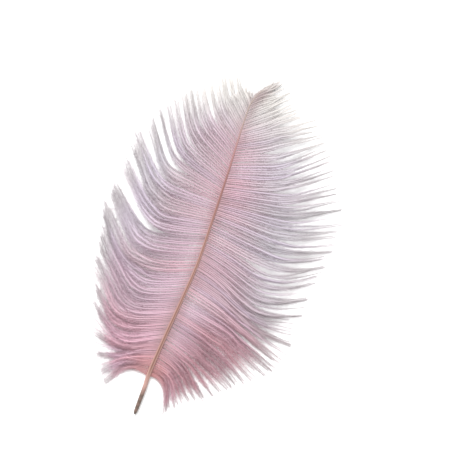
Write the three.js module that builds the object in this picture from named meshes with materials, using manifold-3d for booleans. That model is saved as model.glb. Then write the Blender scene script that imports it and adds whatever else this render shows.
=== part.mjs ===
// An ostrich feather: a small dyed plume lying on a table, its loose vane arched over the surface.
// Millimetres. +Y runs along the shaft from the quill's end to the tip, +X to the right-hand vane, +Z up.
// The origin is on the table, under the middle of the bare quill's flat underside.
// The feather grew in one piece, so the shaft and the locks of barbs that grow from it are one solid.
import * as THREE from "three";
import { mergeVertices } from "three/addons/utils/BufferGeometryUtils.js";
import Module from "manifold-3d";

const QUILL_REST = 7; // from the quill's end to the origin
const LOCKS = { left: 34, right: 42 };

// The shaft. Each row: distance from the quill's end, sideways place, height of its underside, radius.
const SHAFT = [
  [0, 0, 0.3, 0.5],
  [1.4, 0, 0, 0.9],
  [14, 0, 0, 1.1],
  [20, -0.3, 0.3, 1.1],
  [41, 0.7, 1.8, 0.94],
  [61, 2.1, 3.0, 0.82],
  [83, 3.2, 3.9, 0.72],
  [101, 2.7, 4.3, 0.62],
  [131, 1.5, 3.9, 0.48],
  [153, 0.2, 2.9, 0.36],
  [164, -0.1, 2.25, 0.3],
  [171.5, 1.8, 1.6, 0.25],
  [178.5, 7.4, 0.9, 0.18],
];
const SHAFT_SIDES = 10;
const SHAFT_STEPS = 34;
const SHAFT_END_CROWDING = 1.25; // puts more of the rings near the quill's end

// How the barbs run. Each row: root's distance from the quill's end, angle at which the barb leaves the
// shaft, tip's distance from the quill's end, tip's distance sideways, angle at which the tip arrives.
// An angle is 0 straight out from the shaft, and positive towards the feather's tip.
const FLOW = {
  left: [
    [20.5, 12, 9.5, 18.2, -60],
    [27, -14, 15, 23, -46],
    [32, -20, 22.5, 28, -15],
    [36, -22, 30, 31.5, 8],
    [43, -25, 43.5, 36, 38],
    [50.5, -25, 57, 42, 42],
    [63.5, -28, 78.4, 45.1, 47],
    [78, -23, 92, 48.5, 46],
    [96, -17, 108, 47, 43],
    [107.5, -6, 126.6, 47.5, 49],
    [117, 8, 141.5, 41.5, 54],
    [129, 24, 159, 33, 61],
    [143, 34, 166.5, 22.5, 60],
    [157, 44, 175, 14.2, 60],
    [165, 56, 177, 8, 66],
  ],
  right: [
    [20.5, 22, 5.2, 12.2, -75],
    [25, 0, 12.2, 18.5, -48],
    [31, -12, 17.4, 24, -42],
    [36, -12, 21.8, 31.2, -34],
    [51, -10, 35.2, 45.1, -26],
    [58.5, -8, 44.5, 54, -22],
    [69, -11, 52.5, 57, -16],
    [75, -8, 63.5, 60, 8],
    [83, -10, 78.5, 58.5, 30],
    [90.5, -6, 99, 58.3, 42],
    [107, 0, 115, 64, 26],
    [115, 9, 132, 59, 30],
    [129, 18, 154, 46, 44],
    [145, 30, 167, 36, 34],
    [153, 38, 174.5, 24.5, 44],
    [161, 45, 177.5, 17.5, 46],
    [170, 52, 180.5, 12, 55],
    [176.5, 58, 182, 9.5, 60],
  ],
};
// Length of a barb's two Bezier handles, as a share of the line from root to tip.
const HANDLE = { left: 0.6, right: 0.5 };

// A lock is a blade of a diamond section. Its width is a share of the room between its neighbours: at the
// root they overlap into a closed vane, at the tip they stand apart.
const WIDTH_SHARE = [
  [0, 1.16],
  [0.5, 1.16],
  [0.7, 1.08],
  [0.88, 0.86],
  [1, 0.2],
];
const HALF_THICKNESS = [
  [0.1, 0.45],
  [0.5, 0.6],
  [0.9, 0.5],
  [1, 0.3],
];
const ROOT_THICKNESS = 0.35; // half of a lock's, as a share of the radius of the shaft it grows from
const ROOT_DROP = 0.3; // of a lock's root below the shaft's middle, as a share of the same radius
const LOCK_SIDES = 4;
const LOCK_STEPS = 7;
const LOCK_LENGTH = 1.02; // of a lock, as a share of its barb line
const LENGTH_SPREAD = 0.04; // how much longer or shorter than that a lock is
// Locks are spaced evenly by this share of their tips' steps and the rest of their roots' steps.
const RIM_WEIGHT = 0.6;
const TIP_HEIGHT = 0.3; // of a tip's middle, so that its underside lies on the table
const ARCH = 0.035; // how far a lock stands above a plain slope halfway out, as a share of its length
const SLOPE_POWER = 1.5;
const LAYER_STEP = 0.6; // every other lock lies this much above the plain vane, and the rest below it

const GOLDEN = 0.618034;
const side = { left: -1, right: 1 };
const radians = THREE.MathUtils.degToRad;

// The value in a column at place u of a table whose rows rise in their first number. Cubic pieces join the
// rows and never pass beyond them: a row where the values turn is flat.
function along(rows, column, u) {
  const place = THREE.MathUtils.clamp(u, rows[0][0], rows.at(-1)[0]);
  const i = Math.max(0, Math.min(rows.length - 2, rows.findIndex((row) => row[0] > place) - 1));
  const last = place >= rows.at(-1)[0] ? rows.length - 2 : i;
  const secant = (k) => (rows[k + 1][column] - rows[k][column]) / (rows[k + 1][0] - rows[k][0]);
  const slope = (k) => {
    if (k === 0) return secant(0);
    if (k === rows.length - 1) return secant(k - 1);
    const before = secant(k - 1);
    const after = secant(k);
    return before * after <= 0 ? 0 : (2 * before * after) / (before + after);
  };
  const step = rows[last + 1][0] - rows[last][0];
  const t = (place - rows[last][0]) / step;
  return (
    rows[last][column] * (1 + 2 * t) * (1 - t) ** 2 +
    rows[last + 1][column] * t * t * (3 - 2 * t) +
    slope(last) * step * t * (1 - t) ** 2 -
    slope(last + 1) * step * t * t * (1 - t)
  );
}

// A number from -1 to 1 that differs from lock to lock.
const uneven = (i) => 2 * ((i * GOLDEN) % 1) - 1;

// The middle of the shaft at distance u from the quill's end.
function shaftMiddle(u) {
  const inner = along(SHAFT, 3, u) * Math.cos(Math.PI / SHAFT_SIDES);
  return new THREE.Vector3(along(SHAFT, 1, u), u - QUILL_REST, along(SHAFT, 2, u) + inner);
}

// The line of a barb with its root at distance u from the quill's end: a cubic Bezier curve in plan.
function barbPlan(name, u, stretch = 1) {
  const rows = FLOW[name];
  const outward = (degrees) =>
    new THREE.Vector3(side[name] * Math.cos(radians(degrees)), Math.sin(radians(degrees)), 0);
  const root = shaftMiddle(u).setZ(0);
  const tip = new THREE.Vector3(side[name] * along(rows, 3, u), along(rows, 2, u) - QUILL_REST, 0);
  tip.lerpVectors(root, tip, stretch);
  const handle = HANDLE[name] * root.distanceTo(tip);
  return new THREE.CubicBezierCurve3(
    root,
    root.clone().addScaledVector(outward(along(rows, 1, u)), handle),
    tip.clone().addScaledVector(outward(along(rows, 4, u)), -handle),
    tip,
  );
}

// Height of a lock's middle at share t of the way from root to tip: it leaves the shaft, stands up in an
// arch as low as the lock is short, and comes down on the table.
function lockHeight(rootHeight, t, length, layer) {
  const slope = rootHeight + (TIP_HEIGHT - rootHeight) * t ** SLOPE_POWER;
  const arch = Math.sin(Math.PI * t);
  return slope + ARCH * length * arch * arch + layer * arch;
}

// Where the locks of one side grow from the shaft, with an end mark before the first and after the last.
function lockRoots(name) {
  const rows = FLOW[name];
  const [first, last] = [rows[0][0], rows.at(-1)[0]];
  const travelled = [[0, first]];
  const STEP = 0.5;
  for (let u = first + STEP; u <= last; u += STEP) {
    const rim = Math.hypot(
      along(rows, 2, u) - along(rows, 2, u - STEP),
      along(rows, 3, u) - along(rows, 3, u - STEP),
    );
    travelled.push([travelled.at(-1)[0] + RIM_WEIGHT * rim + (1 - RIM_WEIGHT) * STEP, u]);
  }
  const whole = travelled.at(-1)[0];
  return Array.from({ length: LOCKS[name] }, (_, i) => {
    return along(travelled, 1, (whole * i) / (LOCKS[name] - 1));
  });
}

// A closed cylinder mesh, bent: place(t) is its middle and two half axes at share t of its length.
function bentCylinder(sides, steps, crowding, place) {
  const geometry = new THREE.CylinderGeometry(1, 1, 1, sides, steps);
  geometry.deleteAttribute("normal");
  geometry.deleteAttribute("uv");
  const position = geometry.attributes.position;
  const point = new THREE.Vector3();
  for (let i = 0; i < position.count; i += 1) {
    point.fromBufferAttribute(position, i);
    const { middle, across, up } = place((point.y + 0.5) ** crowding);
    position.setXYZ(
      i,
      middle.x + across.x * point.x + up.x * point.z,
      middle.y + across.y * point.x + up.y * point.z,
      middle.z + across.z * point.x + up.z * point.z,
    );
  }
  return geometry;
}

// The shaft: bare quill and rachis, a tapering tube with one flat side down.
function shaftGeometry() {
  const turn = Math.PI / SHAFT_SIDES; // sets a flat side, not a corner, underneath
  return bentCylinder(SHAFT_SIDES, SHAFT_STEPS, SHAFT_END_CROWDING, (t) => {
    const u = t * SHAFT.at(-1)[0];
    const radius = along(SHAFT, 3, u);
    return {
      middle: shaftMiddle(u),
      across: new THREE.Vector3(Math.cos(turn) * radius, 0, Math.sin(turn) * radius),
      up: new THREE.Vector3(-Math.sin(turn) * radius, 0, Math.cos(turn) * radius),
    };
  });
}

// One lock of barbs: a blade that follows the barbs' line. Its width lies along the line to its neighbours'
// like points, which is along the shaft at the root and along the rim at the tip.
function lockGeometry(name, roots, i) {
  const stretch = LOCK_LENGTH + LENGTH_SPREAD * uneven(i);
  const line = barbPlan(name, roots[i], stretch);
  const below = barbPlan(name, roots[Math.max(i - 1, 0)], stretch);
  const above = barbPlan(name, roots[Math.min(i + 1, roots.length - 1)], stretch);
  const neighbours = i === 0 || i === roots.length - 1 ? 1 : 2;
  const radius = along(SHAFT, 3, roots[i]);
  const rootHeight = shaftMiddle(roots[i]).z - ROOT_DROP * radius;
  const length = line.getPoint(0).distanceTo(line.getPoint(1));
  const layer = i % 2 ? LAYER_STEP : -LAYER_STEP;
  return bentCylinder(LOCK_SIDES, LOCK_STEPS, 1, (t) => {
    const middle = line.getPoint(t);
    const room = above.getPoint(t).sub(below.getPoint(t)).divideScalar(neighbours);
    const thick = t === 0 ? ROOT_THICKNESS * radius : along(HALF_THICKNESS, 1, t);
    middle.z = Math.max(lockHeight(rootHeight, t, length, layer), thick);
    return {
      middle,
      across: room.multiplyScalar(0.5 * along(WIDTH_SHARE, 1, t)),
      up: new THREE.Vector3(0, 0, -side[name] * thick),
    };
  });
}

const wasm = await Module();
wasm.setup();

function solidOf(geometry) {
  const merged = mergeVertices(geometry);
  return new wasm.Manifold(
    new wasm.Mesh({
      numProp: 3,
      vertProperties: merged.attributes.position.array,
      triVerts: new Uint32Array(merged.index.array),
    }),
  );
}

function geometryOf(solid) {
  const mesh = solid.getMesh();
  const geometry = new THREE.BufferGeometry();
  geometry.setAttribute("position", new THREE.BufferAttribute(mesh.vertProperties, 3));
  geometry.setIndex(new THREE.BufferAttribute(mesh.triVerts, 1));
  geometry.computeVertexNormals();
  return geometry;
}

let grown = solidOf(shaftGeometry());
for (const name of ["left", "right"]) {
  const roots = lockRoots(name);
  for (let i = 0; i < roots.length; i += 1) {
    grown = grown.add(solidOf(lockGeometry(name, roots, i)));
  }
}

const dyedBarbs = new THREE.MeshStandardMaterial({ color: 0xd9b3bf, roughness: 0.85, metalness: 0 });
const feather = new THREE.Mesh(geometryOf(grown), dyedBarbs);
feather.name = "ostrich_feather";

const group = new THREE.Group();
group.add(feather);
export default group;
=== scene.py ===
"""An ostrich feather on a pale table: its shaft, its barbs in locks, and the fringe of barbules on each barb.

Lengths in the tables and functions are millimetres in the part's frame (+Y along the shaft to the tip, +X to
the right-hand vane, +Z up, origin on the table under the quill); they turn into metres when a mesh is made.
"""

import math

import bpy
import numpy as np
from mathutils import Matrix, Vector


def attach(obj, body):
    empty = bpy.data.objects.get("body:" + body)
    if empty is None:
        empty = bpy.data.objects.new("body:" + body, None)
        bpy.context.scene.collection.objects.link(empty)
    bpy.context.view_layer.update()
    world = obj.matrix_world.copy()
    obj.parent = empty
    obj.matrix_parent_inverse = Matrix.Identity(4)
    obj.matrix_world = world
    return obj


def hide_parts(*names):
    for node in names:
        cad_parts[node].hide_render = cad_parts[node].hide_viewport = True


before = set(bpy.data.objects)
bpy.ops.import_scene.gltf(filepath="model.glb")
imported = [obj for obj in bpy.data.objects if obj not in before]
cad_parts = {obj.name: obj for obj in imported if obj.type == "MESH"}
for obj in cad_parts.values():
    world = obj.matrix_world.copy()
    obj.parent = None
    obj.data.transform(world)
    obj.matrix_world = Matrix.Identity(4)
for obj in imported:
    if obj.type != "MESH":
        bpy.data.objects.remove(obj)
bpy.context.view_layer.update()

MM = 0.001
QUILL_REST = 7.0  # from the quill's end to the origin
SIDE = {"left": -1.0, "right": 1.0}
UP = np.array([0, 0, 1.0])

# The shaft. Rows: distance from the quill's end, sideways place, height of its underside, radius.
SHAFT = [
    (0, 0, 0.3, 0.5),
    (1.4, 0, 0, 0.9),
    (14, 0, 0, 1.1),
    (20, -0.3, 0.3, 1.1),
    (41, 0.7, 1.8, 0.94),
    (61, 2.1, 3.0, 0.82),
    (83, 3.2, 3.9, 0.72),
    (101, 2.7, 4.3, 0.62),
    (131, 1.5, 3.9, 0.48),
    (153, 0.2, 2.9, 0.36),
    (164, -0.1, 2.25, 0.3),
    (171.5, 1.8, 1.6, 0.25),
    (178.5, 7.4, 0.9, 0.18),
]

# How the barbs run. Rows: root's distance from the quill's end, angle at which the barb leaves the shaft,
# tip's distance from the quill's end, tip's distance sideways, angle at which the tip arrives. 0 is straight
# out from the shaft, and a positive angle leans towards the feather's tip.
FLOW = {
    "left": [
        (20.5, 12, 9.5, 18.2, -60),
        (27, -14, 15, 23, -46),
        (32, -20, 22.5, 28, -15),
        (36, -22, 30, 31.5, 8),
        (43, -25, 43.5, 36, 38),
        (50.5, -25, 57, 42, 42),
        (63.5, -28, 78.4, 45.1, 47),
        (78, -23, 92, 48.5, 46),
        (96, -17, 108, 47, 43),
        (107.5, -6, 126.6, 47.5, 49),
        (117, 8, 141.5, 41.5, 54),
        (129, 24, 159, 33, 61),
        (143, 34, 166.5, 22.5, 60),
        (157, 44, 175, 14.2, 60),
        (165, 56, 177, 8, 66),
        (165.7, 84, 171.5, 0.6, 92),
        (168.5, 98, 174.2, -2.0, 106),
        (176.5, 108, 181.5, -8.0, 118),
    ],
    "right": [
        (20.5, 14, 4.8, 11.4, -78),
        (25, 0, 12.2, 18.5, -48),
        (31, -12, 17.4, 24, -42),
        (36, -12, 21.8, 31.2, -34),
        (51, -10, 35.2, 45.1, -26),
        (58.5, -8, 44.5, 54, -22),
        (69, -11, 52.5, 57, -16),
        (75, -8, 63.5, 60, 8),
        (83, -10, 78.5, 58.5, 30),
        (90.5, -7, 94, 59.3, 38),
        (107, 0, 115, 64, 26),
        (115, 9, 132, 59, 30),
        (129, 18, 154, 46, 44),
        (145, 30, 167, 36, 34),
        (153, 38, 174.5, 24.5, 44),
        (161, 45, 177.5, 17.5, 46),
        (170, 52, 180.5, 12, 55),
        (176.5, 58, 182, 9.5, 60),
    ],
}
HANDLE = {"left": 0.6, "right": 0.5}  # a barb's two Bezier handles, as a share of the line from root to tip

BARB_STEP = 1.2  # between neighbouring barbs, a mean of the steps at their roots and at their tips
RIM_WEIGHT = 0.35  # share of the tips' steps in that mean
BARB_POINTS = 40  # along one barb
STRETCH = (0.87, 1.027, 1.05)  # least, usual and most length of a barb, as a share of its line in the flow
STRAY_SHARE = 0.1  # of the barbs, that keep out of their tuft
TIP_HEIGHT = 0.6  # of the barbs' tips over the table
BARB_HEIGHTS = (0.3, 6.5)  # least and most height of a barb's middle line
# The waves in which barbs sway, each with its length and its size: one that neighbours share, one that the
# barbs of a lock share, and one of the barb's own.
SWAY = ((42.0, 0.5), (26.0, 0.22), (15.0, 0.12))

BARBULE_STEP = 0.2  # along a barb, between the barbules of one row
BARBULE_LENGTH = 2.6
BARBULE_WIDTH = 0.085
BARBULE_STATIONS = np.array([0, 0.33, 0.67, 1.0])  # root, two bends and end, as shares of its length
BARBULE_TAPER = np.array([1.15, 1.0, 0.65])  # shares of its width at root and bends; it ends in a point
BARBULE_FLOOR = 0.08  # least height of a barbule's middle line
EDGE_FLOOR = 0.04  # least height of its edges
# How far the fringe shortens at a barb's tip: the left barbs end bushy, the right ones in points.
TIP_TAPER = {"left": -0.15, "right": 0.35}
WEB_RISE = 0.2  # of a barb's web over the roots of its barbules
# Width of the small tufts that barbs gather into at the rim, by the barbs' measure, first for full barbs and
# then for slim ones.
TUFT_WIDTH = (4.5, 2.0)

# How the barbs hold together. Rows: root's distance from the quill's end, slimness of the barbs half-way out
# and at the rim, share of the way to its tuft's middle that a barb's tip is drawn, and width of a lock by the
# barbs' measure. Slimness is 0 for a full fluffy barb, 1 for a thin separate one and more for the finest.
LOCKS = {
    "left": [
        (20, 0, 0.15, 0.2, 4.0),
        (40, 0, 0.1, 0.15, 7.0),
        (84, 0, 0, 0.15, 8.0),
        (96, 0, 0, 0.15, 7.0),
        (112, 0.2, 0, 0.15, 5.0),
        (120, 0.45, 0, 0.15, 4.5),
        (132, 0.6, 0.1, 0.2, 3.6),
        (150, 0.95, 0.8, 0.4, 2.8),
        (165, 1.3, 1.2, 0.5, 2.2),
    ],
    "right": [
        (20, 0, 0.2, 0.15, 3.0),
        (50, 0, 0.15, 0.1, 4.0),
        (62, 0.3, 0.25, 0.3, 4.0),
        (76, 0.6, 0.45, 0.6, 2.6),
        (88, 0.7, 0.5, 0.7, 2.6),
        (118, 0.8, 0.65, 0.75, 2.4),
        (130, 1, 0.9, 0.75, 2.4),
        (150, 1.2, 1.2, 0.75, 2.4),
        (177, 1.4, 1.4, 0.7, 2.2),
    ],
}

# Partings where the vane opens. Rows: side, root's distance from the quill's end, share of the barb's length
# where the parting starts, its width half-way out, its width at the rim.
PARTINGS = [
    ("left", 84, 0.8, 0.0, 0.8),
    ("left", 95.7, 0.25, 2.5, 4.0),
    ("left", 104, 0.75, 0.0, 1.6),
    ("left", 113.8, 0.6, 0.8, 1.6),
    ("left", 118, 0.2, 2.2, 1.6),
    ("left", 120.8, 0.25, 1.4, 0.8),
    ("left", 124, 0.3, 1.2, 0.8),
    ("left", 127.5, 0.25, 2.0, 1.2),
    ("left", 131, 0.35, 1.0, 0.6),
    ("left", 134.5, 0.35, 1.0, 0.6),
    ("left", 138, 0.35, 1.0, 0.6),
    ("left", 142, 0.3, 1.6, 1.0),
    ("left", 146, 0.4, 0.8, 0.6),
    ("left", 150.5, 0.4, 0.8, 0.6),
    ("left", 155, 0.4, 0.8, 0.6),
    ("right", 63.6, 0.42, 2.6, 1.2),
    ("right", 70, 0.4, 1.2, 0.5),
    ("right", 75, 0.4, 1.4, 0.6),
    ("right", 83, 0.45, 1.2, 0.6),
    ("right", 88.5, 0.3, 1.2, 0.4),
    ("right", 91.5, 0.3, 1.0, 0.4),
    ("right", 95, 0.18, 2.4, 0.6),
    ("right", 98.5, 0.4, 1.0, 0.6),
    ("right", 102.5, 0.35, 1.4, 0.6),
    ("right", 108, 0.4, 1.4, 0.6),
    ("right", 113.5, 0.4, 1.2, 0.6),
    ("right", 118, 0.4, 1.6, 0.6),
    ("right", 122.5, 0.3, 2.2, 0.6),
    ("right", 127, 0.35, 1.6, 0.6),
    ("right", 131.5, 0.35, 1.4, 0.6),
    ("right", 135.5, 0.3, 1.8, 0.6),
    ("right", 138.5, 0.2, 2.8, 1.0),
    ("right", 142, 0.3, 1.0, 0.6),
    ("right", 148.5, 0.3, 1.6, 0.6),
    ("right", 157, 0.35, 1.2, 0.6),
]

# Patches where the dye took unevenly. Rows: strength, positive where the barbs are paler and negative where
# they are darker, middle and reach along the shaft, middle and reach beside it, positive to the right.
LIGHT = [
    (1.0, 46, 22, -12, 12),
    (-0.6, 148, 14, 0, 9),
    (0.6, 62, 12, 26, 16),
    (0.4, 142, 20, 22, 16),
    (0.9, 125, 16, 14, 10),
    (-0.5, 128, 18, -14, 10),
    (-0.6, 34, 14, 22, 14),
    (0.5, 144, 8, -14, 6),
    (-0.4, 136, 10, -6, 6),
    (-0.3, 128, 20, -30, 12),
]

VIEW_MIDDLE = (14.1, 95.4, 4.0)  # what the camera looks at
VIEW_TURN = math.radians(20.5)  # of the view, in which the shaft leans to the right
VIEW_WIDTH = 232.5  # what the camera sees across, at the height of the view's middle
CAMERA_HEIGHT = 1200  # over the view's middle
SENSOR = 36  # width of the camera's sensor
LAMP_PLACE = (-300, 850, 900)  # from the view's middle to the view's right, to its top and towards the camera
LAMP_SIZE = 700
LAMP_POWER = 20  # watts
TABLE_SIZE = 4000
TABLE_GAP = 0.2  # by which the table lies under the feather, so that the two don't touch


def along(rows, column, u):
    """The value of one column at places u: cubic pieces between the rows, whose slope at each row is the
    harmonic mean of the slopes on its two sides, or flat where the values turn."""
    table = np.array(rows, float)
    x, y = table[:, 0], table[:, column]
    u = np.clip(np.asarray(u, float), x[0], x[-1])
    secant = np.diff(y) / np.diff(x)
    before, after = secant[:-1], secant[1:]
    bent = before * after > 0
    inner = np.where(bent, 2 * before * after / np.where(bent, before + after, 1), 0)
    slope = np.concatenate([secant[:1], inner, secant[-1:]])
    i = np.clip(np.searchsorted(x, u, side="right") - 1, 0, len(x) - 2)
    step = x[i + 1] - x[i]
    t = (u - x[i]) / step
    return (
        y[i] * (1 + 2 * t) * (1 - t) ** 2
        + y[i + 1] * t * t * (3 - 2 * t)
        + slope[i] * step * t * (1 - t) ** 2
        - slope[i + 1] * step * t * t * (1 - t)
    )


def smooth(low, high, x):
    """0 below low, 1 above high, and 3t^2 - 2t^3 between them."""
    t = np.clip((x - low) / (high - low), 0, 1)
    return t * t * (3 - 2 * t)


def mound(x, middle, reach):
    """1 at the middle, falling off as e to minus the square of the distance over the reach."""
    return np.exp(-(((x - middle) / reach) ** 2))


def patch(u, beside, u_middle, u_reach, middle, reach):
    """1 in the middle of an oval patch of the vane, falling off as e to minus the sum of two squares: the
    distance along the shaft over its reach, and the distance beside it over its own."""
    return np.exp(-(((u - u_middle) / u_reach) ** 2) - ((beside - middle) / reach) ** 2)


def chance(seed, count):
    """Numbers from 0 to 1, evenly drawn from the seed."""
    return np.random.default_rng(seed).uniform(0, 1, count)


def waves(x, seed, count=4):
    """A smooth random curve of x between about -1 and 1: a sum of sines whose lengths and phases are drawn
    from the seed, the shorter the weaker."""
    draw = np.random.default_rng(seed)
    k = np.arange(1, count + 1)
    length = draw.uniform(0.8, 1.25, count) / k
    phase = draw.uniform(0, 2 * np.pi, count)
    angle = 2 * np.pi * np.asarray(x, float)[..., None] / length + phase
    return (np.sin(angle) / np.sqrt(k)).sum(-1) / 1.6


def shaft_middle(u):
    """The shaft's centre line at distances u from the quill's end, as an array of points."""
    u = np.asarray(u, float)
    height = along(SHAFT, 2, u) + along(SHAFT, 3, u)
    return np.stack([along(SHAFT, 1, u), u - QUILL_REST, height], -1)


def barb_plan(name, u, t):
    """Plan of the barbs with roots u (n) at shares t (m) of their way: cubic Bezier curves from the shaft to
    the rim whose two handles lean by the two angles of the flow table. Returns n by m by 2."""
    rows, side = FLOW[name], SIDE[name]
    leave = np.radians(along(rows, 1, u))
    arrive = np.radians(along(rows, 4, u))
    root = shaft_middle(u)[:, :2]
    tip = np.stack([side * along(rows, 3, u), along(rows, 2, u) - QUILL_REST], -1)
    handle = HANDLE[name] * np.linalg.norm(tip - root, axis=1)[:, None]
    first = root + handle * np.stack([side * np.cos(leave), np.sin(leave)], -1)
    second = tip - handle * np.stack([side * np.cos(arrive), np.sin(arrive)], -1)
    weights = [(1 - t) ** 3, 3 * t * (1 - t) ** 2, 3 * t * t * (1 - t), t**3]
    corners = [root, first, second, tip]
    return sum(w[None, :, None] * c[:, None, :] for w, c in zip(weights, corners))


def partings_of(name):
    """The rows of PARTINGS on one side, without the side."""
    return [row[1:] for row in PARTINGS if row[0] == name]


def root_measure(name):
    """The barbs' measure: places u along the shaft, and how far each lies along the vane. The measure grows
    by a mean of the step at the root and the step at the rim, in which the rim counts by RIM_WEIGHT."""
    rows = FLOW[name]
    u = np.arange(rows[0][0], rows[-1][0], 0.25)
    rim = np.hypot(np.diff(along(rows, 2, u)), np.diff(along(rows, 3, u)))
    steps = RIM_WEIGHT * rim + (1 - RIM_WEIGHT) * np.diff(u)
    return u, np.concatenate([[0], np.cumsum(steps)])


def locks_along(name, u, measure, draw):
    """Where one lock ends and the next begins, by the barbs' measure: steps of the lock width, each drawn
    from 0.7 to 1.3 of it, with the nearest border moved to every parting."""
    cuts = [0.0]
    while cuts[-1] < measure[-1]:
        width = along(LOCKS[name], 4, np.interp(cuts[-1], measure, u))
        cuts.append(cuts[-1] + float(width) * draw.uniform(0.7, 1.3))
    cuts = np.array(cuts)
    for start, *_ in partings_of(name):
        border = np.interp(start, u, measure)
        cuts[np.argmin(np.abs(cuts - border))] = border
    return cuts


def barb_groups(name, draw):
    """Which lock and tuft each barb of one side belongs to, as a dictionary with one value per barb. The
    barbs stand at even steps of the barbs' measure, each moved a little by chance. A lock is what stands
    between two cuts, and its tufts are equal parts of it, about TUFT_WIDTH wide. root, lock_root and
    tuft_root are places on the shaft, of the barb and of the middles of its lock and tuft. place is the
    barb's measure, across runs from -1 to 1 over the lock, loose, fine_tips and drawn come from LOCKS, and
    bold is how strongly the locks stand out, a mound around the middle of the feather."""
    u, measure = root_measure(name)
    cuts = locks_along(name, u, measure, draw)
    place = np.arange(0, measure[-1], BARB_STEP)
    place = np.clip(place + draw.uniform(-0.25, 0.25, len(place)), 0, measure[-1])
    root = np.interp(place, measure, u)
    lock = np.searchsorted(cuts, place, side="right") - 1
    width = np.diff(cuts)[lock]
    within = (place - cuts[lock]) / width
    lock_root = np.interp(cuts[lock] + 0.5 * width, measure, u)
    full, slim = TUFT_WIDTH
    tuft_width = full + (slim - full) * np.minimum(along(LOCKS[name], 1, lock_root), 1)
    tufts = np.maximum(np.round(width / tuft_width), 1)
    tuft_middle = cuts[lock] + (np.minimum(np.floor(within * tufts), tufts - 1) + 0.5) * width / tufts
    return dict(
        place=place,
        root=root,
        lock=lock,
        lock_root=lock_root,
        tuft=np.unique(tuft_middle, return_inverse=True)[1],
        tuft_root=np.interp(tuft_middle, measure, u),
        across=2 * within - 1,
        loose=along(LOCKS[name], 1, root),
        fine_tips=along(LOCKS[name], 2, root),
        drawn=along(LOCKS[name], 3, root),
        bold=0.6 + 0.7 * mound(root, 95, 25),
    )


def gathered_plan(name, group, t, draw):
    """Plan (n, m, 2) of the barbs, their lengths (n), and which are strays (n). A barb's own line of the flow
    moves a small share of the way to the line of its lock's middle, and near the rim the share drawn of the
    way to the line of its tuft's middle. Strays keep out of the tuft. Then each is stretched from its root,
    together with its tuft and by itself."""
    lock, tuft, loose = group["lock"], group["tuft"], group["loose"]
    count = len(lock)
    own = barb_plan(name, group["root"], t)
    lock_line = barb_plan(name, group["lock_root"], t)
    tuft_line = barb_plan(name, group["tuft_root"], t)
    cling = (0.06 + draw.uniform(-0.04, 0.08, lock.max() + 1)[lock])[:, None] * smooth(0.2, 1.0, t)
    gather = group["drawn"][:, None] * smooth((0.84 - 0.24 * loose)[:, None], 1.0, t[None, :])
    stray = draw.random(count) < STRAY_SHARE
    gather = np.where(stray[:, None], 0, gather)
    plan = own + (lock_line - own) * cling[..., None]
    plan = plan + (tuft_line - own) * (gather * (1 - cling))[..., None]

    least, usual, most = STRETCH
    stretch = usual + 0.015 * draw.normal(size=tuft.max() + 1)[tuft]
    stretch = stretch + (0.045 - 0.02 * loose) * draw.normal(size=count)
    plan = plan[:, :1] + (plan - plan[:, :1]) * np.clip(stretch, least, most)[:, None, None]
    return plan, np.linalg.norm(own[:, -1] - own[:, 0], axis=1), stray


def own_waves(far, seed):
    """The wave of each barb's own (n, m), at distances far (n, m) from its root."""
    return waves(far / SWAY[2][0] + 1.7 * np.arange(len(far))[:, None], seed + 3, 2)


def swayed(group, t, far, stray, seed, draw):
    """How far the barbs lie beside their plan (n, m): the three waves of SWAY along the barb, fading in from
    the root, and a lean that grows towards the rim. The lean is drawn for the lock, for the tuft and for the
    barb, less for a barb that its tuft draws in, and more for a stray."""
    lock, tuft = group["lock"], group["tuft"]
    count = len(lock)
    (near_length, near_size), (lock_length, lock_size), (_, own_size) = SWAY
    near = waves(far / near_length + 0.04 * lock[:, None] + 0.012 * group["root"][:, None], seed + 1, 2)
    of_lock = waves(far / lock_length + 5.3 * lock[:, None], seed + 2, 2)
    sway = near_size * near + lock_size * of_lock + own_size * own_waves(far, seed)
    lean = 0.25 * draw.normal(size=lock.max() + 1)[lock] + 0.2 * draw.normal(size=tuft.max() + 1)[tuft]
    lean = lean + 0.35 * (1 - 0.8 * group["drawn"]) * draw.normal(size=count)
    lean = lean + np.where(stray, 1.6 * draw.normal(size=count), 0)
    return smooth(0.05, 0.6, t)[None, :] * sway + lean[:, None] * smooth(0.3, 1.0, t)[None, :]


def parted(name, group, t, shift):
    """The sideways shift and the slimness (n, m) of the barbs, with the partings in. Around a parting the
    sway dies down as a mound. Its two sides are pushed apart by half its width each, and the push falls off
    as e to minus the distance from the parting. The barbs that stand at it turn slim, so that their fringe
    doesn't fill the gap. Elsewhere slimness goes from 0 at the root through loose to fine_tips."""
    root, loose = group["root"], group["loose"]
    for start, _, width, _ in partings_of(name):
        calm = 1 - min(width / 2, 1) * mound(root, start, 3.5)
        shift = shift * calm[:, None]
    finer = group["fine_tips"] - loose
    slim = loose[:, None] * smooth(0.35, 0.65, t) + finer[:, None] * smooth(0.65, 0.95, t)
    for start, begin, width, rim_width in partings_of(name):
        away = root - start
        opening = width * smooth(begin, begin + 0.35, t) + (rim_width - width) * smooth(0.6, 1.05, t)
        push = 0.5 * np.sign(away) * np.exp(-np.abs(away) / (1.5 + 1.5 * width))
        shift = shift + push[:, None] * opening[None, :]
        edge = min(0.95, 0.15 + 0.3 * width) * mound(away, 0, 1.4)
        open_here = smooth(begin - 0.1, begin + 0.15, t) * (1 - 0.6 * smooth(0.8, 1, t))
        slim = np.maximum(slim, edge[:, None] * open_here[None, :])
    return shift, slim


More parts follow.
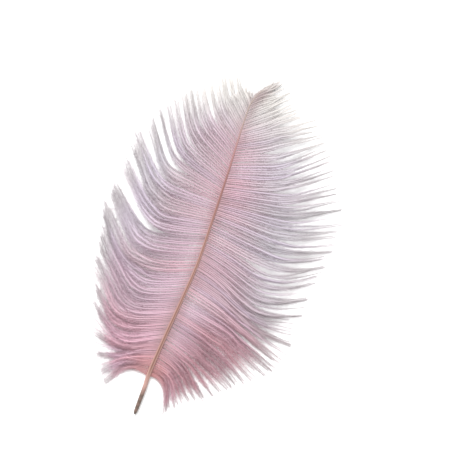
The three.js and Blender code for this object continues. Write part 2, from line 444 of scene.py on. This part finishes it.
def heights_of(group, t, far, length, stray, seed, draw):
    """Height (n, m) of the barbs over the table, and the swell of the vane (n, m). From just under the
    shaft's centre line the barbs come down as t to the power 1.5, on a low arch of the square of sin(pi t).
    On that stand the crest of the lock, 1 - across^2, and the layer it lies in, both less where the barbs
    are loose, then the barb's own wave, a small offset, a rise of the strays, and slow swells along the
    vane."""
    root, lock, loose, bold = group["root"], group["lock"], group["loose"], group["bold"]
    base = shaft_middle(root)[:, 2][:, None] - 0.2 * along(SHAFT, 3, root)[:, None]
    arch = np.sin(np.pi * t)[None, :]
    height = base + (TIP_HEIGHT - base) * t[None, :] ** 1.5 + 0.022 * length[:, None] * arch**2
    crest = (bold * (1 - group["across"] ** 2))[:, None] * (1.5 - 0.9 * loose)[:, None]
    crest = crest * smooth(0.08, 0.4, t)[None, :]
    layer = draw.uniform(-0.75, 0.75, lock.max() + 1)[lock] * (1 - 0.75 * loose) * bold
    layer = layer[:, None] * smooth(0.05, 0.4, t) * (1 - 0.6 * t)
    uneven = draw.uniform(-0.2, 0.2, len(root))[:, None] * smooth(0, 0.2, t)[None, :]
    wave = 0.2 * own_waves(far, seed) * smooth(0.05, 0.6, t)[None, :]
    height = height + (crest - 0.5) * arch + layer + wave + uneven
    height = height + 0.6 * stray[:, None] * smooth(0.2, 0.5, t)[None, :]
    swell = waves(group["place"][:, None] / 15 + 0.3 * t[None, :], seed + 4)
    swell = swell * (1 - 0.6 * loose[:, None])
    height = height + 0.6 * swell * smooth(0.06, 0.3, t)[None, :] * (1 - 0.6 * t[None, :])
    return np.clip(height, *BARB_HEIGHTS), swell


def barbs_of(name, seed):
    """All barbs of one side: the gathered plan, moved square to itself by the sway and the partings, with its
    heights. Returns a dictionary of the side's name, the shares t (m), and for every barb what barb_groups
    gives, its points (n, m, 3), its length (n), its slimness (n, m) and the vane's swell (n, m)."""
    draw = np.random.default_rng(seed)
    t = np.linspace(0, 1, BARB_POINTS)
    group = barb_groups(name, draw)
    plan, length, stray = gathered_plan(name, group, t, draw)
    tangent = np.gradient(plan, axis=1)
    tangent /= np.linalg.norm(tangent, axis=2, keepdims=True)
    normal = np.stack([-tangent[..., 1], tangent[..., 0]], -1) * SIDE[name]
    far = t[None, :] * length[:, None]
    shift, slim = parted(name, group, t, swayed(group, t, far, stray, seed, draw))
    plan = plan + normal * shift[..., None]
    height, swell = heights_of(group, t, far, length, stray, seed, draw)
    points = np.concatenate([plan, height[..., None]], 2)
    return dict(group, name=name, t=t, points=points, length=length, slim=slim, swell=swell)


def frames_of(points):
    """Unit tangents along polylines (n, m, 3), and level unit vectors square to them."""
    tangent = np.gradient(points, axis=1)
    tangent /= np.linalg.norm(tangent, axis=2, keepdims=True)
    level = np.stack([-tangent[..., 1], tangent[..., 0], np.zeros(tangent.shape[:2])], -1)
    level /= np.linalg.norm(level, axis=2, keepdims=True) + 1e-9
    return tangent, level


def dye_at(x, y):
    """How the dye took, from the place in plan. Here u is the distance along the shaft, and beside is the
    distance from it, positive to the right. Pink is strong low down and falls off outwards and towards the
    tip, with a band beside the shaft, a patch on the left and faint waves. Warm is a red-brown stain at the
    lowest barbs, down is the darker foot of the barbs at the shaft and in the curl of the tip, cream is the
    undyed tip, and deep is the strongly dyed lower right. Returns those as a dictionary and, apart from it,
    how much paler the barbs are: the patches of LIGHT, less the curl."""
    u = y + QUILL_REST
    beside = x - along(SHAFT, 1, u)
    low = 1 - smooth(28, 104, u + 0.10 * np.abs(beside))
    band_reach = np.where(beside > 0, 21 - 6 * smooth(105, 135, u), 20)
    band = (0.78 + 0.1 * smooth(100, 125, u)) * mound(beside, 0, band_reach) * (1 - smooth(138, 172, u))
    pink = 1 - (1 - low) * (1 - band) * (1 - 0.3 * patch(u, beside, 88, 22, -22, 16))
    pink = pink + 0.12 * np.sin(u / 9.0 + beside / 13.0) * np.sin(beside / 8.0 - u / 21.0)
    warm = patch(u, beside, 22, 11, 0, 11)
    curl = mound(beside, 1.2, 3.2) * smooth(152, 167, u) * (1 - 0.8 * smooth(171, 178, u))
    down = mound(beside, 0, 3.5) * smooth(26, 40, u)
    down = down * (1 - 0.4 * smooth(108, 140, u) - 0.6 * smooth(150, 166, u))
    down = np.minimum(down + 0.6 * curl, 1)
    cream = smooth(140, 172, u)
    deep = smooth(6, 20, beside) * (1 - smooth(45, 70, u))
    light = -1.7 * curl
    for strength, *oval in LIGHT:
        light = light + strength * patch(u, beside, *oval)
    return dict(pink=np.clip(pink, 0, 1), warm=warm, down=down, cream=cream, deep=deep), light


def linear(hex_colour):
    """sRGB hex colour to the linear RGBA that shader sockets take."""
    value = np.array([int(hex_colour[i : i + 2], 16) for i in (1, 3, 5)]) / 255
    value = np.where(value <= 0.04045, value / 12.92, ((value + 0.055) / 1.055) ** 2.4)
    return (*value.tolist(), 1.0)


def node(tree, kind, inputs=(), **settings):
    """Adds one shader node, sets its properties, and sets or links its inputs, given as (socket, value)."""
    made = tree.nodes.new(kind)
    for key, value in settings.items():
        setattr(made, key, value)
    for socket, value in inputs:
        if isinstance(value, bpy.types.NodeSocket):
            tree.links.new(value, made.inputs[socket])
        else:
            made.inputs[socket].default_value = value
    return made


def new_material(name):
    """An empty material with this name, and its node tree."""
    material = bpy.data.materials.new(name)
    material.use_nodes = True
    material.node_tree.nodes.clear()
    return material, material.node_tree


def mix(tree, factor, a, b, blend="MIX"):
    """Colour mix of a and b by the factor."""
    inputs = [(0, factor), (6, a), (7, b)]
    return node(tree, "ShaderNodeMix", inputs, data_type="RGBA", blend_type=blend).outputs[2]


def attribute(tree, name):
    """The value of a float attribute of the mesh."""
    return node(tree, "ShaderNodeAttribute", attribute_name=name).outputs["Fac"]


def principled(tree, colour, roughness, specular):
    """A surface of this colour, roughness and specular level."""
    inputs = [("Base Color", colour), ("Roughness", roughness), ("Specular IOR Level", specular)]
    return node(tree, "ShaderNodeBsdfPrincipled", inputs).outputs[0]


def dyed_keratin_barbs():
    """Barbs and barbules: thin keratin that scatters light both ways, with an uneven pink dye. The colour is
    mixed from the dye attributes; the rim attribute greys the tips as painted shade, the fringe attribute
    paints shade that darkens what lies between the webs, and a paleness attribute makes one barb paler than
    the next at random and paints light on the locks' crests and raised swells and shade at their edges."""
    material, tree = new_material("dyed keratin barbs")
    colour = mix(tree, attribute(tree, "pink"), linear("#f1edf4"), linear("#f2c8d6"))
    colour = mix(tree, attribute(tree, "lilac"), colour, mix(tree, 0.35, colour, linear("#e9daf2")))
    colour = mix(tree, attribute(tree, "deep"), colour, mix(tree, 0.6, colour, linear("#d89ca5")))
    # Painted shade: the tips turn grey where the rim attribute rises, standing in for shade of the thin
    # fluff.
    colour = mix(tree, attribute(tree, "rim"), colour, mix(tree, 0.8, colour, linear("#d4cecf")))
    colour = mix(tree, attribute(tree, "cream"), colour, linear("#f6f3ef"))
    colour = mix(tree, attribute(tree, "down"), colour, linear("#d2b0b4"))
    colour = mix(tree, attribute(tree, "warm"), colour, linear("#e6a6a6"))
    # Painted shade between the webs: a dark multiply, mixed in where the fringe attribute is high.
    painted_shade_between_webs = mix(tree, 1.0, colour, linear("#84676e"), "MULTIPLY")
    colour = mix(tree, attribute(tree, "fringe"), colour, painted_shade_between_webs)
    darkest, palest = 0.5, 0.97
    # Painted light and shade: this paleness pales the locks' crests and raised swells and darkens their
    # edges, beside each barb's random paleness.
    inputs = [("Value", attribute(tree, "strand")), ("To Min", darkest), ("To Max", palest)]
    shade = node(tree, "ShaderNodeMapRange", inputs).outputs[0]
    grey = node(tree, "ShaderNodeCombineColor", [(0, shade), (1, shade), (2, shade)]).outputs[0]
    colour = mix(tree, 1.0, colour, grey, "MULTIPLY")
    body = principled(tree, colour, 0.62, 0.35)
    through = node(tree, "ShaderNodeBsdfTranslucent", [("Color", colour)]).outputs[0]
    both = node(tree, "ShaderNodeMixShader", [(0, 0.35), (1, body), (2, through)]).outputs[0]
    node(tree, "ShaderNodeOutputMaterial", [("Surface", both)])
    return material


def rachis_keratin():
    """The shaft: smooth tan keratin with its groove coloured dark brown as painted shade, turning to
    grey-brown horn on the bare quill.
    """
    material, tree = new_material("rachis keratin")
    colour = mix(tree, attribute(tree, "pink"), linear("#a9857c"), linear("#976e6d"))
    colour = mix(tree, attribute(tree, "cream"), colour, linear("#8f8078"))
    # Painted shade: the groove along the upper face is coloured dark brown.
    colour = mix(tree, attribute(tree, "groove"), colour, linear("#6b4439"))
    colour = mix(tree, attribute(tree, "horn"), colour, linear("#58493f"))
    node(tree, "ShaderNodeOutputMaterial", [("Surface", principled(tree, colour, 0.38, 0.5))])
    return material


def pale_paper_floor():
    """The table: plain pale paper, matt and nearly white."""
    material, tree = new_material("pale paper floor")
    node(tree, "ShaderNodeOutputMaterial", [("Surface", principled(tree, linear("#fbfbfb"), 0.9, 0.1))])
    return material


def make_mesh(name, points, faces, material, values, uv=None):
    """A smooth mesh object from points in millimetres and an array of triangles, with the values as float
    attributes and, where it is given, the map uv."""
    mesh = bpy.data.meshes.new(name)
    mesh.vertices.add(len(points))
    mesh.vertices.foreach_set("co", (points * MM).astype(np.float32).ravel())
    mesh.loops.add(faces.size)
    mesh.loops.foreach_set("vertex_index", faces.astype(np.int32).ravel())
    mesh.polygons.add(len(faces))
    mesh.polygons.foreach_set("loop_start", np.arange(0, faces.size, 3, dtype=np.int32))
    mesh.update(calc_edges=True)
    mesh.polygons.foreach_set("use_smooth", np.full(len(faces), True))
    for key, value in values.items():
        layer = mesh.attributes.new(key, "FLOAT", "POINT")
        layer.data.foreach_set("value", value.astype(np.float32))
    if uv is not None:
        layer = mesh.uv_layers.new(name="OFBake")
        layer.data.foreach_set("uv", uv[faces.ravel()].astype(np.float32).ravel())
    mesh.materials.append(material)
    piece = bpy.data.objects.new(name, mesh)
    bpy.context.scene.collection.objects.link(piece)
    return piece


def grid_faces(rows, columns, closed=False):
    """Triangles of a rows by columns grid of points; closed joins the last column to the first."""
    i = np.arange(rows - 1)[:, None]
    j = np.arange(columns if closed else columns - 1)[None, :]
    k = (j + 1) % columns
    a, b, c, d = i * columns + j, i * columns + k, (i + 1) * columns + k, (i + 1) * columns + j
    first = np.stack(np.broadcast_arrays(a, b, c), -1).reshape(-1, 3)
    second = np.stack(np.broadcast_arrays(a, c, d), -1).reshape(-1, 3)
    return np.concatenate([first, second])


def blades(barbs):
    """Each barb's web: a narrow roof along the barb, its ridge raised over its two edges. Three points across
    at every point along. Half its width swells from the root and dies away towards the tip, and where the
    barb is full of fringe the web has half that width and isn't raised. Returns points, faces, and for each
    point its place across the barb, its share of the barb's length and the barb's number."""
    points, t = barbs["points"], barbs["t"]
    level = frames_of(points)[1]
    half = 0.3 + 0.22 * (1 - smooth(0, 0.06, t)) + 0.1 * smooth(0.3, 0.6, t) - 0.2 * smooth(0.6, 1, t)
    bare = 1 - 0.5 * smooth(0.25, 0.55, t) * (1 - np.minimum(barbs["slim"], 1))
    half = (half * bare)[..., None]
    drop = UP * (0.4 * half)
    ridge = points + UP * WEB_RISE * (2 * bare - 1)[..., None]
    rows = np.stack([ridge - level * half - drop, ridge, ridge + level * half - drop], 2)
    n, m = points.shape[:2]
    face = grid_faces(m, 3)
    faces = (face[None] + (np.arange(n) * m * 3)[:, None, None]).reshape(-1, 3)
    out = np.broadcast_to(np.array([-0.6, 0, 0.6]), (n, m, 3))
    share = np.broadcast_to(t[None, :, None], (n, m, 3))
    barb = np.broadcast_to(np.arange(n)[:, None, None], (n, m, 3))
    return rows.reshape(-1, 3), faces, out.ravel(), share.ravel(), barb.ravel()


def between(values, barb, i, f):
    """Values (n, m, 3) of the barbs, at share f of the way from point i to the next."""
    return values[barb, i] * (1 - f) + values[barb, i + 1] * f


def barbules(barbs, seed):
    """The fringe: from both flanks of every barb, at even steps, a ribbon that leaves at 34 to 66 degrees,
    bends to 6 to 52, sinks a little and narrows to a point. Four stations, seven points, five triangles
    each. On slim barbs it is shorter and clings closer. Near a full barb's tip its end turns any way, and
    its length there changes by TIP_TAPER. Returns the same five arrays as blades."""
    draw = np.random.default_rng(seed)
    points, t, length = barbs["points"], barbs["t"], barbs["length"]
    tangent, level = frames_of(points)
    count = 2 * np.maximum((length / BARBULE_STEP).astype(int), 4)
    barb = np.repeat(np.arange(len(count)), count)
    order = np.arange(len(barb)) - np.repeat(np.cumsum(count) - count, count)
    n = len(barb)
    flank = np.where(order % 2, 1.0, -1.0)
    share = (order // 2 + draw.uniform(0, 1, n)) / np.repeat(count // 2, count)
    share = np.clip(share, 0, 1) ** 0.94
    at = share * (len(t) - 1)
    i = np.clip(at.astype(int), 0, len(t) - 2)
    f = (at - i)[:, None]
    start = between(points, barb, i, f)
    ahead = between(tangent, barb, i, f)
    aside = between(level, barb, i, f) * flank[:, None]

    slim = barbs["slim"][barb, i]
    reach = BARBULE_LENGTH * (0.45 + 0.55 * smooth(0, 0.15, share)) * (1 - 0.35 * slim)
    taper = TIP_TAPER[barbs["name"]] + 0.15 * np.minimum(slim, 1)
    reach = reach * draw.uniform(0.6, 1.25, n) * (1 - taper * smooth(0.8, 1, share))
    bushy = smooth(0.8, 1, share) * np.maximum(1 - slim, 0)
    turn_out = np.radians(draw.uniform(34, 66, n) * (1 - 0.4 * slim))
    turn_in = np.radians(draw.uniform(6, 52, n) * (1 - 0.5 * slim) + bushy * draw.uniform(-60, 75, n))
    sink = draw.uniform(0.15, 0.6, n)
    lift = draw.normal(0, 0.16, n)
    q = BARBULE_STATIONS
    angle = turn_out[:, None] + (turn_in - turn_out)[:, None] * (0.5 * (q[1:] + q[:-1])) ** 0.7
    run = reach[:, None] * np.diff(q)
    go = np.concatenate([np.zeros((n, 1)), np.cumsum(run * np.cos(angle), 1)], 1)
    out = np.concatenate([np.zeros((n, 1)), np.cumsum(run * np.sin(angle), 1)], 1)
    line = start[:, None] + ahead[:, None] * go[..., None] + aside[:, None] * out[..., None]
    line[..., 2] += lift[:, None] * q - sink[:, None] * q**1.5 * reach[:, None] * 0.4
    line[..., 2] = np.maximum(line[..., 2], BARBULE_FLOOR)

    roll = draw.uniform(-1.0, 1.0, n)
    heading = ahead[:, None] * np.cos(angle)[..., None] + aside[:, None] * np.sin(angle)[..., None]
    flat = np.cross(heading, UP)
    flat /= np.linalg.norm(flat, axis=2, keepdims=True) + 1e-9
    wide = flat * np.cos(roll)[:, None, None] + UP * np.sin(roll)[:, None, None]
    thinner = 1 - (0.35 + 0.3 * np.minimum(slim, 1)) * smooth(0.75, 1, share)
    wide = wide * (0.5 * (BARBULE_WIDTH * BARBULE_TAPER))[None, :, None] * thinner[:, None, None]
    pairs = np.stack([line[:, :3] - wide, line[:, :3] + wide], 2).reshape(n, 6, 3)
    corners = np.concatenate([pairs, line[:, 3:]], 1)
    corners[..., 2] = np.maximum(corners[..., 2], EDGE_FLOOR)
    face = np.array([(0, 1, 3), (0, 3, 2), (2, 3, 5), (2, 5, 4), (4, 5, 6)])
    faces = (face[None] + (np.arange(n) * 7)[:, None, None]).reshape(-1, 3)
    outward = np.concatenate([np.repeat(q[:3], 2), q[3:]])[None].repeat(n, 0) * flank[:, None]
    ahead_share = np.concatenate([np.repeat(go[:, :3], 2, axis=1), go[:, 3:]], 1)
    share = np.clip(share[:, None] + ahead_share / length[barb][:, None], 0, 1)
    return corners.reshape(-1, 3), faces, outward.ravel(), share.ravel(), barb.repeat(7)


def attributes_of(barbs, points, out, share, barb, seed):
    """What the barbs' colour is mixed from, at every point of a piece. Beside the dye there are four more.
    Rim rises towards the tips; it greys them as painted shade of the thin fluff. Lilac is one value for each
    lock. The paleness of the point comes from a random value of its barb and one of its lock, with painted
    light on the lock's crest and painted shade at its edges, times a contrast that changes in slow waves,
    then painted light on the raised swell, a darkening towards the tips, the inner part and the patches of
    light. Fringe is painted shade between the webs: it grows with the distance out from the barb, and there
    is less of it at the rim, in the cream tip and low down."""
    root, lock, last = barbs["root"][barb], barbs["lock"], len(barbs["t"]) - 1
    values, light = dye_at(points[:, 0], points[:, 1])
    # Painted shade: rim greys the barbs' tips, standing in for the shade of thin fluff over the table.
    values["rim"] = smooth(0.8 - 0.3 * barbs["loose"][barb], 0.97, share)
    values["lilac"] = smooth(0.3, 0.9, chance(78, lock.max() + 1))[lock][barb]
    inner = (1 - smooth(0.3, 0.6, share)) * smooth(50, 85, root)
    inner = inner * (1 - smooth(135, 160, root))

    own = chance(seed + 9, len(lock))
    # Painted light and shade: the lock's crest is paler and its edges darker, beside the random paleness of
    # barb and lock.
    tone_and_crest_light = 0.25 * own + 0.2 * chance(81, lock.max() + 1)[lock] + 0.25 * (1 - barbs["across"] ** 2)
    # All pieces of one side share the seed's hundreds, so the waves run on from piece to piece.
    contrast = 1 + 0.5 * waves(points[:, 1] / 60 + 0.3 * np.sin(points[:, 0] / 14), seed // 100, 3)
    contrast = contrast * barbs["bold"][barb]
    strand = 0.44 + contrast * (tone_and_crest_light - 0.4)[barb]
    at = np.clip((share * last).astype(int), 0, last)
    # Painted light: where the vane swells up it is paler; towards the tips it is darker.
    strand = strand + 0.16 + 0.18 * barbs["swell"][barb, at] - 0.08 * smooth(0.4, 0.8, share)
    strand = strand + 0.26 * inner + 0.2 * light

    # Painted shade: fringe darkens what lies between the webs, the further out from the barb the darker.
    fringe = np.abs(out) ** (1 - 0.35 * inner) * (1 + 0.15 * inner)
    fringe = fringe * (1 - 0.6 * values["cream"]) * (1 - 0.3 * smooth(0.3, 0.8, share))
    fringe = np.minimum(fringe * (0.75 + 0.25 * smooth(40, 80, root)), 1)
    values.update(strand=np.clip(strand, 0, 1), fringe=fringe)
    return values


def feather_piece(name, barbs, chosen, material, seed):
    """One joined mesh of the chosen barbs: their webs and their fringes, with the attributes that colour them
    and a map on which every barb has a strip of its own."""
    some = {key: value if key in ("name", "t") else value[chosen] for key, value in barbs.items()}
    web, fluff = blades(some), barbules(some, seed)
    points, out, share, barb = (np.concatenate([web[k], fluff[k]]) for k in (0, 2, 3, 4))
    faces = np.concatenate([web[1], fluff[1] + len(web[0])])
    values = attributes_of(some, points, out, share, barb, seed)
    uv = np.stack([0.002 + 0.996 * share, (barb + 0.5 + 0.4 * out) / len(some["root"])], 1)
    return make_mesh(name, points, faces, material, values, uv)


def shaft_piece(material):
    """Quill and rachis: a tube whose section is round under and has a groove along its upper face. Its
    radius and centre line follow the shaft's table; the groove starts where the vane does."""
    rings, sides = 260, 28
    u = np.linspace(0, SHAFT[-1][0], rings)
    centre = shaft_middle(u)
    tangent = np.gradient(centre, axis=0)
    tangent /= np.linalg.norm(tangent, axis=1, keepdims=True)
    level = np.stack([tangent[:, 1], -tangent[:, 0], np.zeros(rings)], -1)
    level /= np.linalg.norm(level, axis=1, keepdims=True)
    up = np.cross(level, tangent)
    angle = np.linspace(0, 2 * np.pi, sides, endpoint=False)[None, :]
    dent = mound(angle, np.pi / 2, 0.5)
    vane = smooth(16, 26, u)[:, None]
    radius = along(SHAFT, 3, u)[:, None] * (1 - 0.3 * dent * vane)
    radius = radius * (1 + 0.02 * waves(u[:, None] / 9 + angle, 5))
    points = (
        centre[:, None]
        + level[:, None] * (np.cos(angle) * radius)[..., None]
        + up[:, None] * (np.sin(angle) * radius)[..., None]
    )
    points[..., 2] = np.maximum(points[..., 2], 0)
    ends = np.stack([centre[0] + [0, 0.5, 0], centre[-1] + 0.2 * tangent[-1]])
    faces = grid_faces(rings, sides, closed=True)
    ring = np.arange(sides)
    after = (ring + 1) % sides
    last = (rings - 1) * sides
    total = rings * sides
    start_cap = np.stack([ring, np.full(sides, total), after], 1)
    end_cap = np.stack([last + ring, last + after, np.full(sides, total + 1)], 1)
    faces = np.concatenate([faces, start_cap, end_cap])
    points = np.concatenate([points.reshape(-1, 3), ends])
    place = points[:, 1] + QUILL_REST
    # Mask of the groove, where its painted shade goes.
    groove = np.concatenate([(dent * vane * (1 - smooth(120, 150, u))[:, None]).ravel(), [0, 0]])
    horn = (1 - smooth(9, 16, place)) * (0.88 + 0.12 * np.sin(place * 2.1))
    values = dict(pink=smooth(85, 125, place), cream=smooth(138, 164, place), groove=groove, horn=horn)
    return make_mesh("shaft", points, faces[:, ::-1], material, values)


def all_barbs(material):
    """The barbs of both sides, each side in three pieces with the same number of barbs."""
    for name, seed in (("left", 11), ("right", 12)):
        barbs = barbs_of(name, seed)
        count = len(barbs["root"])
        third = np.clip((3 * np.arange(count) / count).astype(int), 0, 2)
        for k, part in enumerate(("lower", "middle", "upper")):
            piece = feather_piece(f"{name}_{part}_barbs", barbs, third == k, material, 100 * seed + k)
            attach(piece, "root")


def pale_table():
    """A plain pale table, just under the feather."""
    bpy.ops.mesh.primitive_plane_add(size=TABLE_SIZE * MM, location=(0, 0, -TABLE_GAP * MM))
    floor = bpy.context.object
    floor.name = "floor"
    floor.data.materials.append(pale_paper_floor())


def studio_light():
    """A soft even sky, and one large soft light from the upper left."""
    world = bpy.data.worlds.new("studio")
    bpy.context.scene.world = world
    world.use_nodes = True
    world.node_tree.nodes["Background"].inputs["Color"].default_value = linear("#ffffff")
    world.node_tree.nodes["Background"].inputs["Strength"].default_value = 1.0
    key = bpy.data.lights.new("soft key", "AREA")
    key.shape = "SQUARE"
    key.size = LAMP_SIZE * MM
    key.energy = LAMP_POWER
    lamp = bpy.data.objects.new("soft key", key)
    right = np.array([math.cos(VIEW_TURN), math.sin(VIEW_TURN), 0])
    up = np.array([-math.sin(VIEW_TURN), math.cos(VIEW_TURN), 0])
    away = (LAMP_PLACE[0] * right + LAMP_PLACE[1] * up + LAMP_PLACE[2] * UP) * MM
    lamp.location = np.array(VIEW_MIDDLE) * MM + away
    lamp.rotation_euler = Vector(-away).to_track_quat("-Z", "Y").to_euler()
    bpy.context.scene.collection.objects.link(lamp)


def camera_above():
    """A camera straight above the feather, turned by the view's angle. Its lens is as long, for the width of
    its sensor, as it stands high for the width that it sees."""
    data = bpy.data.cameras.new("camera")
    data.sensor_width = SENSOR
    data.lens = SENSOR * CAMERA_HEIGHT / VIEW_WIDTH
    data.clip_end = 10
    above = bpy.data.objects.new("camera", data)
    above.location = (np.array(VIEW_MIDDLE) + CAMERA_HEIGHT * UP) * MM
    above.rotation_euler = (0, 0, VIEW_TURN)
    bpy.context.scene.collection.objects.link(above)
    bpy.context.scene.camera = above
    bpy.context.scene.view_settings.view_transform = "Standard"


shaft = shaft_piece(rachis_keratin())
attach(shaft, "root")
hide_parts("ostrich_feather")
all_barbs(dyed_keratin_barbs())
pale_table()
studio_light()
camera_above()
